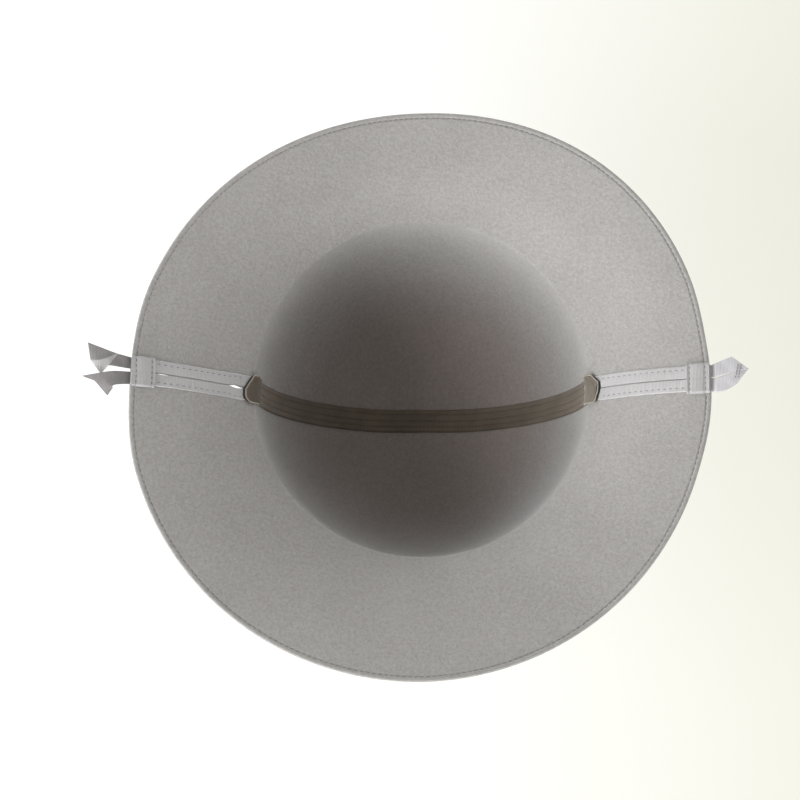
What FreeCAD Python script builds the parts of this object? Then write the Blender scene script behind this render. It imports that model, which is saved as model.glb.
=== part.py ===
import FreeCAD, Part
import math
import os

# Wide-brimmed felt hat that packs flat, lying on its crown with the head opening up.
# Frame: millimetres, origin at the centre of the crown's flat rest face, +Z out of the head opening,
# +Y to the back of the hat, -Y to the front, +X to the side with the loop tab, -X to the side with the ties.

# Driving dimensions.
felt = 2.2                   # felt thickness
head_radius = 91.5           # inner radius of the crown at the head opening, for a 57.5 cm head
crown_depth = 106.0          # head opening down to the inside of the crown
dome_reach = 110.0           # upright half-axis of the crown's elliptical dome, flattened at its tip
break_radius = 10.0          # roll where the crown turns into the brim
break_slope = 45.0           # brim slope at the end of that roll, degrees
side_slope = 15.0            # brim slope at its edge on the two sides, degrees
blank_slope = 8.0            # slope where the brim's blank ends, outside its outline
brim_radius = 154.0          # outline of the brim
brim_shift = 7.5             # the outline's centre lies this far in front of the crown's
slit_start = 97.0            # the brim is slit on both sides from here to its edge
slit_half = 1.1              # half the distance between the two felt edges of a slit
binding_tuck = 1.0           # a binding starts this far outside the slit's inner end
ribbon = 0.6                 # grosgrain ribbon thickness
ribbon_width = 6.8           # width of a binding on each face of the brim
ribbon_gap = 0.5             # half the gap between the two bindings of a slit
binding_seam_inset = 2.0     # stitch row inside a binding's outer edge
keeper_length = 12.4         # ribbon strap sewn over both bindings at the brim's edge
keeper_half_width = 8.4
keeper_thickness = 0.9
keeper_seam_insets = (1.5, 9.6)  # a keeper's two stitch rows, from its inner end
keeper_seam_margin = 1.0     # the rows stop this far from its front and back ends
tape_width = 14.0            # tape over the crown's seam
tape = 1.2
patch = 0.8                  # patch over each end of that tape
patch_half_width = 8.0
patch_drop = 9.0             # how far a patch reaches down into the crown
tape_seams = (-6.6, -3.5, 0.0, 4.1)  # the tape's four stitch rows
thread = 0.5                 # sewing thread, as a flat strip
thread_depth = 0.25
edge_seam_inset = 2.5        # stitch row along the brim's edge
edge_seam_stop = 1.0         # it stops this far from the bindings
wire = 1.2                   # brim wire inside the felt's edge
wire_inset = 0.7             # felt outside the wire
wire_end = 4.0               # the wire stops this far from the slit
crown_seam_row = 3.0         # topstitching each side of the crown's seam
strip_thickness = 0.9        # loose ribbon ends at the brim's edge
flex_gap = 0.9               # brim's edge to the line where a ribbon end flexes
flex_drop = 0.5              # that line lies this far below the brim's face

# Outlines of the loose ribbon ends: distance beyond the flex line, then Y.
back_tie_outline = [(0.4, 1), (9, 3), (13.8, 0.4), (18.4, 6.3), (19.3, 15.4), (4.4, 9.6), (0.4, 7.4)]
front_tie_outline = [
    (0.4, -0.6), (0.4, -7.2), (6.8, -8.6), (9.8, -12.4), (16.5, -5.2), (22.9, -2.6), (9, -0.6),
]
back_loop_outline = [(0.4, 0.6), (2, 0.8), (10.8, 3.4), (18.1, 4.9), (9.4, 11.4), (0.4, 7.4)]
front_loop_outline = [(0.4, 0.2), (0.4, -7.8), (6.2, -7), (18.1, 4.5), (10.8, 3), (2, 0.4)]
tack_reaches = (11.4, 12.6)  # the bar tack's two rows
tack_span = (-0.5, 7.0)

# Worked out from them.
far = 400.0
wall_top = felt + crown_depth - break_radius
opening_height = felt + crown_depth
start_slope = math.radians(break_slope)
roll_centre = (head_radius + break_radius, wall_top)
roll_end_radius = roll_centre[0] - break_radius * math.sin(start_slope)
roll_end_height = roll_centre[1] + break_radius * math.cos(start_slope)
bell_reach = math.sin(start_slope) - math.sin(math.radians(side_slope))
bell_radius = (brim_radius - roll_end_radius) / bell_reach
bell_centre = (
    roll_end_radius + bell_radius * math.sin(start_slope),
    roll_end_height - bell_radius * math.cos(start_slope),
)
edge_height = bell_centre[1] + bell_radius * math.cos(math.radians(side_slope))
ribbon_outer = ribbon_gap + ribbon_width
binding_start = slit_start + binding_tuck
keeper_start = brim_radius - keeper_length
patch_low = opening_height - patch_drop
tape_reach = slit_start + 0.5
flex_x = brim_radius + flex_gap
flex_height = edge_height - flex_drop
halves = (("front", -1), ("back", 1))
sides = (("left", -1), ("right", 1))


def profile_point(radius, height):
    """Point of the hat's cross-section, drawn on the front side so that no surface seam meets the slits."""
    return FreeCAD.Vector(0, -radius, height)


def arc_point(centre, radius, slope):
    """Point of the roll or the bell where the brim has this slope, in radians."""
    return profile_point(centre[0] - radius * math.sin(slope), centre[1] + radius * math.cos(slope))


def arc(centre, radius, first, last):
    """Arc of the roll or the bell between two slopes."""
    middle = (first + last) / 2
    points = [arc_point(centre, radius, slope) for slope in (first, middle, last)]
    return Part.Arc(*points).toShape()


def dome_arc(depth):
    """Elliptical wall of the crown, from its flat tip to the roll, moved outwards by depth."""
    tall = dome_reach + depth
    at_tip = math.acos((opening_height - felt + depth) / tall)
    at_roll = math.acos((opening_height - wall_top) / tall)
    wide = (head_radius + depth) / math.sin(at_roll)
    centre = profile_point(0, opening_height)
    lowest = profile_point(0, opening_height - tall)
    ellipse = Part.Ellipse(lowest, profile_point(wide, opening_height), centre)
    return Part.ArcOfEllipse(ellipse, at_tip, at_roll).toShape()


def face_profile(depth):
    """Cross-section of the visible face moved outwards by depth, from the middle to the blank's end."""
    dome = dome_arc(depth)
    upright = math.radians(90)
    return [
        Part.LineSegment(profile_point(0, felt - depth), dome.firstVertex().Point).toShape(),
        dome,
        arc(roll_centre, break_radius - depth, upright, start_slope),
        arc(bell_centre, bell_radius - depth, start_slope, math.radians(blank_slope)),
    ]


def layer(inner, outer):
    """Sheet of the whole blank between two offsets of the visible face; negative offsets lie above it."""
    inside = face_profile(inner)
    outside = face_profile(outer)
    axis_step = Part.LineSegment(profile_point(0, felt - inner), profile_point(0, felt - outer)).toShape()
    end_slope = math.radians(blank_slope)
    end_step = Part.LineSegment(
        arc_point(bell_centre, bell_radius - inner, end_slope),
        arc_point(bell_centre, bell_radius - outer, end_slope),
    ).toShape()
    section = Part.Face(Part.Wire(inside + [end_step] + outside[::-1] + [axis_step]))
    return section.revolve(FreeCAD.Vector(0, 0, 0), FreeCAD.Vector(0, 0, 1), 360)


def outline_cylinder(inset):
    """Upright cylinder at this distance inside the brim's outline."""
    base = FreeCAD.Vector(0, -brim_shift, -far)
    return Part.makeCylinder(brim_radius - inset, 2 * far, base)


def block(x_range, y_range, z_range):
    corner = FreeCAD.Vector(x_range[0], y_range[0], z_range[0])
    size = [high - low for low, high in (x_range, y_range, z_range)]
    return Part.makeBox(size[0], size[1], size[2], corner)


def side_block(side, near, reach, y_range, z_range):
    """Box on the -X or +X side, between two distances from the middle."""
    x_range = sorted((side * near, side * reach))
    return block(x_range, y_range, z_range)


def half_range(half, near, reach):
    """Y range on the front (-1) or back (+1) of the seam plane."""
    return tuple(sorted((half * near, half * reach)))


def edge_ring(sheet, inset, width, half, gap):
    """Half ring along the brim's outline, cut from a sheet."""
    ring = outline_cylinder(inset).cut(outline_cylinder(inset + width))
    region = block((-far, far), half_range(half, gap, far), (0, far))
    return sheet.common(ring).common(region)


def seam_rows(sheet, rows, x_limit):
    """Stitch rows that run from side to side in a sheet."""
    strips = []
    for row in rows:
        strips.append(block((-x_limit, x_limit), (row - thread / 2, row + thread / 2), (-far, far)))
    return sheet.common(Part.makeCompound(strips))


def cross_rows(sheet, side, distances, half_width):
    """Stitch rows that run from front to back in a sheet on one side of the hat."""
    strips = []
    for near in distances:
        reach = near + thread
        strips.append(side_block(side, near, reach, (-half_width, half_width), (0, far)))
    return sheet.common(Part.makeCompound(strips))


def brim_wires():
    """Wires inside the felt along the front and back of the brim's edge."""
    sheet = layer((felt - wire) / 2, (felt + wire) / 2)
    return {name: edge_ring(sheet, wire_inset, wire, half, wire_end) for name, half in halves}


def crown_seam_stitching():
    """Topstitching sunk into the crown's outside face, on each side of its seam."""
    sheet = layer(felt - thread_depth, felt)
    return seam_rows(sheet, (-crown_seam_row, crown_seam_row), slit_start)


def felt_halves(wires, stitching):
    """Front and back halves of crown and brim, slit at both sides, around the wires and the topstitching."""
    whole = layer(0, felt).common(outline_cylinder(0))
    for _, side in sides:
        slit = side_block(side, slit_start, far, (-slit_half, slit_half), (0, far))
        whole = whole.cut(slit)
    felts = {}
    for name, half in halves:
        region = block((-far, far), half_range(half, 0, far), (-far, far))
        felts[name] = whole.common(region).cut(wires[name]).cut(stitching)
    return felts


def edge_stitching():
    """Stitching along the brim's edge, on both faces."""
    sheets = (layer(-thread_depth, 0), layer(felt, felt + thread_depth))
    found = {}
    stop = ribbon_outer + edge_seam_stop
    for name, half in halves:
        rows = [edge_ring(sheet, edge_seam_inset, thread, half, stop) for sheet in sheets]
        found[name + "_edge_stitching"] = Part.makeCompound(rows)
    return found


def bindings(felts, wires):
    """Ribbons folded over the felt edges of both slits, and their stitching."""
    sheet = layer(-ribbon, felt + ribbon).common(outline_cylinder(0))
    thread_sheet = layer(-ribbon - thread_depth, -ribbon)
    seam = ribbon_outer - binding_seam_inset
    found = {}
    for side_name, side in sides:
        for half_name, half in halves:
            name = side_name + "_" + half_name + "_binding"
            strip = side_block(side, binding_start, far, half_range(half, ribbon_gap, ribbon_outer), (0, far))
            found[name] = sheet.common(strip).cut([felts[half_name], wires[half_name]])
            seam_range = half_range(half, seam - thread / 2, seam + thread / 2)
            row = side_block(side, binding_start, keeper_start - thread, seam_range, (0, far))
            found[name + "_stitching"] = thread_sheet.common(row)
    return found


def keepers():
    """Ribbon straps across both bindings at the brim's edge, with a stitch row at each end."""
    sheet = layer(-ribbon - keeper_thickness, -ribbon).common(outline_cylinder(0))
    top = ribbon + keeper_thickness
    thread_sheet = layer(-top - thread_depth, -top)
    distances = [keeper_start + inset for inset in keeper_seam_insets]
    found = {}
    for name, side in sides:
        width = (-keeper_half_width, keeper_half_width)
        found[name + "_keeper"] = sheet.common(side_block(side, keeper_start, far, width, (0, far)))
        rows = cross_rows(thread_sheet, side, distances, keeper_half_width - keeper_seam_margin)
        found[name + "_keeper_stitching"] = rows
    return found


def crown_seam_tape():
    """Tape over the crown's seam on the inside."""
    box = block((-tape_reach, tape_reach), (-tape_width / 2, tape_width / 2), (-far, far))
    return layer(-tape, 0).common(box)


def tape_patches():
    """Patches over both ends of the tape."""
    sheet = layer(-tape - patch, -tape)
    found = {}
    for name, side in sides:
        width = (-patch_half_width, patch_half_width)
        box = side_block(side, slit_start / 2, tape_reach, width, (patch_low, far))
        found[name + "_tape_patch"] = sheet.common(box)
    return found


def tape_stitching():
    """The tape's stitch rows, between its patches."""
    below_patches = block((-far, far), (-far, far), (-far, patch_low - thread))
    rows = seam_rows(layer(-tape - thread_depth, -tape), tape_seams, tape_reach)
    return rows.common(below_patches)


def ribbon_end(side, outline):
    """Loose ribbon end from its flex line outwards."""
    low = flex_height - strip_thickness / 2
    corners = [FreeCAD.Vector(side * (flex_x + reach), y, low) for reach, y in outline]
    face = Part.Face(Part.makePolygon(corners + corners[:1]))
    return face.extrude(FreeCAD.Vector(0, 0, strip_thickness))


def bar_tack():
    """Two stitch rows that join the loop tab's ribbons near their point."""
    low = flex_height + strip_thickness / 2
    rows = []
    for reach in tack_reaches:
        near = flex_x + reach
        rows.append(block((near, near + thread), tack_span, (low, low + thread_depth)))
    return Part.makeCompound(rows)


wires = brim_wires()
crown_stitching = crown_seam_stitching()
felts = felt_halves(wires, crown_stitching)
parts = {name + "_felt_half": shape for name, shape in felts.items()}
parts.update({name + "_brim_wire": shape for name, shape in wires.items()})
parts["crown_seam_stitching"] = crown_stitching
parts.update(edge_stitching())
parts.update(bindings(felts, wires))
parts.update(keepers())
parts["crown_seam_tape"] = crown_seam_tape()
parts.update(tape_patches())
parts["tape_stitching"] = tape_stitching()
parts["left_back_tie"] = ribbon_end(-1, back_tie_outline)
parts["left_front_tie"] = ribbon_end(-1, front_tie_outline)
parts["right_loop_back_ribbon"] = ribbon_end(1, back_loop_outline)
parts["right_loop_front_ribbon"] = ribbon_end(1, front_loop_outline)
parts["right_loop_bar_tack"] = bar_tack()

os.makedirs("parts", exist_ok=True)
for name, shape in parts.items():
    shape.exportStep("parts/" + name + ".step")
    state = "valid" if shape.isValid() else "INVALID"
    print(name, len(shape.Solids), "solids", round(shape.Volume, 1), "mm3", state)
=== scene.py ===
import bisect
import math

import bpy
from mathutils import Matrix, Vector, noise


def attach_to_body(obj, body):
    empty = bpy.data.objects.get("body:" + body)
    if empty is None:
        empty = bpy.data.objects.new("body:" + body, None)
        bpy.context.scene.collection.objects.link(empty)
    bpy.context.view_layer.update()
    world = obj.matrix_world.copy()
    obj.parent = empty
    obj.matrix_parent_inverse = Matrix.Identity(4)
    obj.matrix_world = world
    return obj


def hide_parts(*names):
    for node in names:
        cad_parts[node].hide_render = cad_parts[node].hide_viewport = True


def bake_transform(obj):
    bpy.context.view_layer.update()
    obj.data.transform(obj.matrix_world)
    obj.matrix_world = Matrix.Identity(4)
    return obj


# Packable felt hat lying on its crown, head opening up. Shapes are worked out in millimetres and made in
# metres. +X is the side with the loop tab, -X the side with the ties, +Y the back of the hat, +Z up.

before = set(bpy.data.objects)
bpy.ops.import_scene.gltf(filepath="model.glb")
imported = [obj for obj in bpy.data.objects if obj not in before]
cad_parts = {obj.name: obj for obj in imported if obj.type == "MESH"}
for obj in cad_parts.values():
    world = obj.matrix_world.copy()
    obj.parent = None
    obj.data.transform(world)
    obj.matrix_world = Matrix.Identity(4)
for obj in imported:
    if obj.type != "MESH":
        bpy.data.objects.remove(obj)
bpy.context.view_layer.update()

MM = 0.001
TAU = 2 * math.pi

# The hat's shape, as in the CAD model.
FELT = 2.2
HEAD_RADIUS = 91.5
CROWN_DEPTH = 106.0
DOME_REACH = 110.0
BREAK_RADIUS = 10.0
BREAK_SLOPE = math.radians(45)
CREASE_SLOPE = math.radians(86)   # slope just inside the pressed crease at the head opening
SIDE_SLOPE = math.radians(15)
BLANK_SLOPE = math.radians(8)
BRIM_RADIUS = 154.0
BRIM_SHIFT = 7.5
SLIT_START = 97.0
CROWN_SOFTNESS = 2.0         # rounding between the crown's flat middle and its dome
RIBBON = 0.55
RIBBON_WIDTH = 6.9
TAPE_WIDTH = 14.0
TAPE = 1.1
OPENING = FELT + CROWN_DEPTH
WALL_TOP = OPENING - BREAK_RADIUS
ROLL_CENTRE = (HEAD_RADIUS + BREAK_RADIUS, WALL_TOP)
ROLL_END = (
    ROLL_CENTRE[0] - BREAK_RADIUS * math.sin(BREAK_SLOPE),
    ROLL_CENTRE[1] + BREAK_RADIUS * math.cos(BREAK_SLOPE),
)

# How the worn hat differs from it.
BRIM_DROP = 5.0              # how much flatter the brim lies at the front and back than at the slits
DROP_TO_BACK = 0.4           # and how unevenly
BRIM_WAVES = ((1, 1.2), (2, 1.8), (3, 1.3), (5, -0.7))       # (waves round the brim, height)
OUTLINE_GROWTH = 1.3
OUTLINE_SINES = ((1, 2.7), (2, 2.4))                         # (waves round the outline, growth)
OUTLINE_COSINES = ((1, -1.3), (3, -0.4), (4, -0.4))
TIE_SLIT_SWAY = 3.2          # how far the slits lean at the brim's edge: to the back on the ties' side
LOOP_SLIT_SWAY = -0.6        # and to the front on the loop's side
BACK_BULGE = 4.5             # how far the head opening is stretched to the back
SLIT_SHIFT = -0.75           # how far the brim's edge lies off centre at the slits
SLIT_CLOSED = 0.02           # half the gap of a closed slit
SLIT_OPENINGS = ((101, 4.5, 0.8), (137.5, 5, 0.3))           # (radius, reach, half gap) on the ties' side
BELL_RADIUS = (BRIM_RADIUS - ROLL_END[0]) / (math.sin(BREAK_SLOPE) - math.sin(SIDE_SLOPE))


def clamp(value):
    return max(0.0, min(1.0, value))


def smooth(low, high, value):
    """0 below low, 1 above high, an S curve between them."""
    t = clamp((value - low) / (high - low))
    return t * t * (3 - 2 * t)


def bump(value, middle, width):
    """1 at middle, falling to 0 at width on each side."""
    return 1 - smooth(0, width, abs(value - middle))


# ---------------------------------------------------------------- the hat's cross-section

def raw_section():
    """Radius and height of the visible face, from the crown's middle to past the brim's edge."""
    points = []
    at_roll = math.acos(BREAK_RADIUS / DOME_REACH)
    wide = HEAD_RADIUS / math.sin(at_roll)
    steps = 200
    for i in range(steps + 1):
        turn = at_roll * i / steps
        dome = OPENING - DOME_REACH * math.cos(turn)
        height = (dome + FELT + math.hypot(dome - FELT, CROWN_SOFTNESS)) / 2
        points.append((wide * math.sin(turn), height))
    for i in range(1, steps + 1):
        slope = math.pi / 2 + (CREASE_SLOPE - math.pi / 2) * i / steps
        radius = ROLL_CENTRE[0] - BREAK_RADIUS * math.sin(slope)
        points.append((radius, ROLL_CENTRE[1] + BREAK_RADIUS * math.cos(slope)))
    middle = (CREASE_SLOPE + BREAK_SLOPE) / 2
    reach = BREAK_RADIUS / math.cos((CREASE_SLOPE - BREAK_SLOPE) / 2)
    points.append((ROLL_CENTRE[0] - reach * math.sin(middle), ROLL_CENTRE[1] + reach * math.cos(middle)))
    points.append(ROLL_END)
    for i in range(1, steps + 1):
        slope = BREAK_SLOPE + (BLANK_SLOPE - BREAK_SLOPE) * i / steps
        radius = ROLL_END[0] + BELL_RADIUS * (math.sin(BREAK_SLOPE) - math.sin(slope))
        height = ROLL_END[1] + BELL_RADIUS * (math.cos(slope) - math.cos(BREAK_SLOPE))
        points.append((radius, height))
    return points


def lookup(keys, values, key):
    """Straight-line reading of values at key; keys rise."""
    i = bisect.bisect_right(keys, key) - 1
    i = max(0, min(len(keys) - 2, i))
    t = (key - keys[i]) / (keys[i + 1] - keys[i])
    return values[i] + (values[i + 1] - values[i]) * t


class Section:
    """The cross-section by length along the cloth, softened as felt is."""

    STEP = 0.5
    SOFT = 1           # samples averaged on each side

    def __init__(self):
        points = raw_section()
        length = [0.0]
        for a, b in zip(points, points[1:]):
            length.append(length[-1] + math.dist(a, b))
        radii = [p[0] for p in points]
        heights = [p[1] for p in points]
        count = int(length[-1] / self.STEP)
        evenly = [i * self.STEP for i in range(count)]
        radii = [lookup(length, radii, s) for s in evenly]
        heights = [lookup(length, heights, s) for s in evenly]
        for _ in range(2):
            radii = self.averaged(radii, -1)
            heights = self.averaged(heights, 1)
        self.length = evenly
        self.radii = radii
        self.heights = heights
        last = count - 1
        self.slopes = []
        for i in range(count):
            low, high = max(0, i - 1), min(last, i + 1)
            rise = heights[high] - heights[low]
            self.slopes.append(math.atan2(rise, radii[high] - radii[low]))

    def averaged(self, values, mirror):
        """Running mean; the section goes on past the crown's middle as its own mirror image."""
        before = [mirror * v for v in values[self.SOFT:0:-1]]
        step = values[-1] - values[-2]
        after = [values[-1] + step * (k + 1) for k in range(self.SOFT)]
        padded = before + values + after
        window = 2 * self.SOFT + 1
        return [sum(padded[i:i + window]) / window for i in range(len(values))]

    def at(self, s):
        """Radius, height and slope at a length from the crown's middle."""
        place = s / self.STEP
        i = max(0, min(len(self.radii) - 2, int(place)))
        t = place - i
        return tuple(
            row[i] + (row[i + 1] - row[i]) * t for row in (self.radii, self.heights, self.slopes)
        )

    def length_at(self, radius):
        return lookup(self.radii, self.length, radius)


section = Section()


def sway(side):
    """How far a slit leans at the brim's edge; side is its sign along X."""
    return TIE_SLIT_SWAY if side < 0 else LOOP_SLIT_SWAY


def settle(x, y, z):
    """The worn hat's unevenness, and the step to metres: a wavy brim, flatter between the slits and a little
    out of round, slits that lean, and a head opening stretched to the back."""
    radius = math.hypot(x, y)
    angle = math.atan2(y, x)
    out = smooth(88, BRIM_RADIUS, radius)
    lift = sum(size * math.sin(waves * angle) for waves, size in BRIM_WAVES)
    lift -= BRIM_DROP * math.sin(angle) ** 2 * (1 + DROP_TO_BACK * math.sin(angle))
    z += out * lift
    grow = OUTLINE_GROWTH + sum(size * math.sin(waves * angle) for waves, size in OUTLINE_SINES)
    grow += sum(size * math.cos(waves * angle) for waves, size in OUTLINE_COSINES)
    grow *= smooth(0.0, 0.35, abs(math.sin(angle)))
    x += out * grow * math.cos(angle)
    y += out * grow * math.sin(angle)
    x += out * SLIT_SHIFT * (1 - smooth(0.0, 0.45, abs(math.sin(angle))))
    y += out * sway(x) * min(1.0, abs(x) / BRIM_RADIUS)
    y += BACK_BULGE * bump(radius, 97, 24) * max(0.0, math.sin(angle)) ** 1.5
    return Vector((x, y, z)) * MM


def on_hat(s, y, h):
    """Point over the seam line: s along the cloth towards +X, y across, h above the visible face."""
    side = 1 if s >= 0 else -1
    radius, height, slope = section.at(abs(s))
    lift = h + y * y * math.sin(slope) / (2 * max(radius, 20.0))
    return settle(side * (radius - lift * math.sin(slope)), y, height + lift * math.cos(slope))


def on_felt(angle, s, depth):
    """Point of the felt: angle round the hat, s from the crown's middle, depth below the visible face."""
    radius, height, slope = section.at(s)
    radius += depth * math.sin(slope)
    return settle(radius * math.cos(angle), radius * math.sin(angle), height - depth * math.cos(slope))


def outline_radius(angle, inset=0.0):
    """Distance of the brim's edge from the crown's middle."""
    ring = BRIM_RADIUS - inset
    return -BRIM_SHIFT * math.sin(angle) + math.sqrt(ring * ring - (BRIM_SHIFT * math.cos(angle)) ** 2)


def slit_gap(side, radius):
    """Half the gap between the two bindings of a slit: closed, but for two openings on the ties' side."""
    if side > 0:
        return SLIT_CLOSED
    return SLIT_CLOSED + sum(gap * bump(radius, middle, reach) for middle, reach, gap in SLIT_OPENINGS)


# ---------------------------------------------------------------- mesh helpers

def new_piece(name, verts, faces, material, weave=None, smooth_faces=True):
    """Mesh object from vertices in metres; weave holds each vertex's place along and across its ribbon."""
    mesh = bpy.data.meshes.new(name)
    mesh.from_pydata([tuple(v) for v in verts], [], faces)
    mesh.validate()
    if weave is not None:
        layer = mesh.attributes.new("weave", "FLOAT_VECTOR", "POINT")
        for i, (along, across) in enumerate(weave):
            layer.data[i].vector = (along, across, 0.0)
    mesh.polygons.foreach_set("use_smooth", [smooth_faces] * len(mesh.polygons))
    mesh.materials.append(material)
    piece = bpy.data.objects.new(name, mesh)
    bpy.context.scene.collection.objects.link(piece)
    return piece


def grid_faces(rows, columns, first=0, closed=False):
    """Quads of a grid of rows by columns; closed joins the last column to the first."""
    faces = []
    for i in range(rows - 1):
        for j in range(columns if closed else columns - 1):
            k = (j + 1) % columns
            a = first + i * columns
            b = a + columns
            faces.append((a + j, a + k, b + k, b + j))
    return faces


def tube_band(name, loops, material, weave=None):
    """Closed solid through equal closed loops, capped at both ends."""
    columns = len(loops[0])
    verts = [p for loop in loops for p in loop]
    faces = grid_faces(len(loops), columns, closed=True)
    faces.append(tuple(range(columns))[::-1])
    last = (len(loops) - 1) * columns
    faces.append(tuple(range(last, last + columns)))
    return new_piece(name, verts, faces, material, weave)


def attach(piece, body, slot, *nodes):
    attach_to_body(piece, body)
    if nodes:
        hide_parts(*nodes)
    return piece


def stitch_row(verts, faces, place, start, end, pitch, length, radius, rise=0.5):
    """Adds a row of stitches: place(t, h) gives a point along the row, h above the cloth."""
    sides, rings = 6, 5
    count = max(1, round((end - start) / pitch))
    for n in range(count):
        middle = start + (n + 0.5) * (end - start) / count
        first = len(verts)
        centres = []
        for k in range(rings):
            share = 2 * k / (rings - 1) - 1
            lift = radius * (rise - 1.6 * share * share)
            centres.append(place(middle + share * length / 2, lift))
        up = (place(middle, 1.0) - place(middle, 0.0)).normalized()
        along = (centres[-1] - centres[0]).normalized()
        across = along.cross(up).normalized()
        for k, centre in enumerate(centres):
            share = 2 * k / (rings - 1) - 1
            girth = radius * MM * math.sqrt(1.12 - share * share)
            for m in range(sides):
                turn = TAU * m / sides
                verts.append(centre + across * girth * math.cos(turn) + up * girth * math.sin(turn))
        faces.extend(grid_faces(rings, sides, first, closed=True))
        faces.append(tuple(range(first, first + sides))[::-1])
        last = first + (rings - 1) * sides
        faces.append(tuple(range(last, last + sides)))


# ---------------------------------------------------------------- materials

class Shading:
    """The nodes of a material or world."""

    def __init__(self, owner, coordinates="Object"):
        owner.use_nodes = True
        self.nodes = owner.node_tree.nodes
        self.links = owner.node_tree.links
        self.place = self.add("TexCoord").outputs[coordinates]

    def add(self, kind, inputs=None, **settings):
        node = self.nodes.new("ShaderNode" + kind)
        for key, value in settings.items():
            setattr(node, key, value)
        self.feed(node, inputs or {})
        return node

    def feed(self, node, inputs):
        """Sets a node's inputs to values, or links them to other nodes' outputs."""
        for key, value in inputs.items():
            if isinstance(value, bpy.types.NodeSocket):
                self.links.new(value, node.inputs[key])
            else:
                node.inputs[key].default_value = value

    def noise(self, scale, detail, roughness=0.5):
        inputs = {"Vector": self.place, "Scale": scale, "Detail": detail, "Roughness": roughness}
        return self.add("TexNoise", inputs).outputs["Fac"]

    def wave(self, place, axis, pitch, distortion):
        """Even bands across one axis, pitch apart in metres."""
        inputs = {"Vector": place, "Scale": TAU / (20 * pitch), "Distortion": distortion}
        inputs.update({"Detail": 1.0, "Detail Scale": 2.0})
        return self.add("TexWave", inputs, wave_type="BANDS", bands_direction=axis).outputs["Fac"]

    def ramp(self, value, stops):
        """Colour ramp with two stops of (position, grey or colour)."""
        node = self.add("ValToRGB", {"Fac": value})
        for element, (position, colour) in zip(node.color_ramp.elements, stops):
            element.position = position
            rgb = colour if isinstance(colour, tuple) else (colour, colour, colour)
            element.color = (*rgb, 1.0)
        return node.outputs["Color"]

    def product(self, total, *colours):
        for colour in colours:
            inputs = {"Factor": 1.0, "A": total, "B": colour}
            total = self.add("Mix", inputs, data_type="RGBA", blend_type="MULTIPLY").outputs["Result"]
        return total

    def bump(self, height, strength, distance, normal=None):
        inputs = {"Height": height, "Strength": strength, "Distance": distance}
        if normal is not None:
            inputs["Normal"] = normal
        return self.add("Bump", inputs).outputs["Normal"]

    def part(self, vector, axis):
        return self.add("SeparateXYZ", {"Vector": vector}).outputs[axis]

    def remap(self, value, low, high, to_low=0.0, to_high=1.0, curve="LINEAR"):
        inputs = {"Value": value, "From Min": low, "From Max": high, "To Min": to_low, "To Max": to_high}
        return self.add("MapRange", inputs, interpolation_type=curve).outputs["Result"]

    def math(self, operation, *values):
        return self.add("Math", dict(enumerate(values)), operation=operation).outputs["Value"]


def new_material(name):
    material = bpy.data.materials.new(name)
    shading = Shading(material)
    return material, shading, shading.nodes["Principled BSDF"]


def crown_shade_tint(shading):
    """Painted shade: a warmer, darker tone deep inside the crown, none on the outside."""
    rise = shading.remap(shading.part(shading.place, "Z"), 0.0, 0.1)
    upwards = shading.part(shading.add("NewGeometry").outputs["Normal"], "Z")
    out_of_crown_shade = shading.math("MAXIMUM", rise, shading.remap(upwards, 0.2, -0.2))
    return shading.ramp(out_of_crown_shade, [(0.22, (1.0, 0.9, 0.875)), (0.6, (1.0, 1.0, 1.0))])


def felt_material(name, colour):
    """Short-napped wool felt: matted fibres, cloudy shading and a soft sheen."""
    material, shading, shader = new_material(name)
    fibres = shading.noise(1500, 5, 0.65)
    clumps = shading.noise(540, 3, 0.6)
    clouds = shading.noise(32, 4, 0.55)
    dark = tuple(c * 0.86 for c in colour)
    light = tuple(min(1.0, c * 1.12) for c in colour)
    base = shading.ramp(fibres, [(0.3, dark), (0.72, light)])
    patchy = shading.ramp(clumps, [(0.32, 0.82), (0.68, 1.0)])
    cloudy = shading.ramp(clouds, [(0.3, 0.93), (0.7, 1.0)])
    coarse = shading.bump(clumps, 0.5, 0.0008)
    shading.feed(shader, {
        # painted shade: warmer, darker felt deep inside the crown
        "Base Color": shading.product(base, patchy, crown_shade_tint(shading), cloudy),
        "Normal": shading.bump(fibres, 0.5, 0.0003, coarse),
        "Roughness": 0.95,
        "Specular IOR Level": 0.2,
        "Sheen Weight": 0.25,
        "Sheen Roughness": 0.6,
    })
    return material


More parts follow.
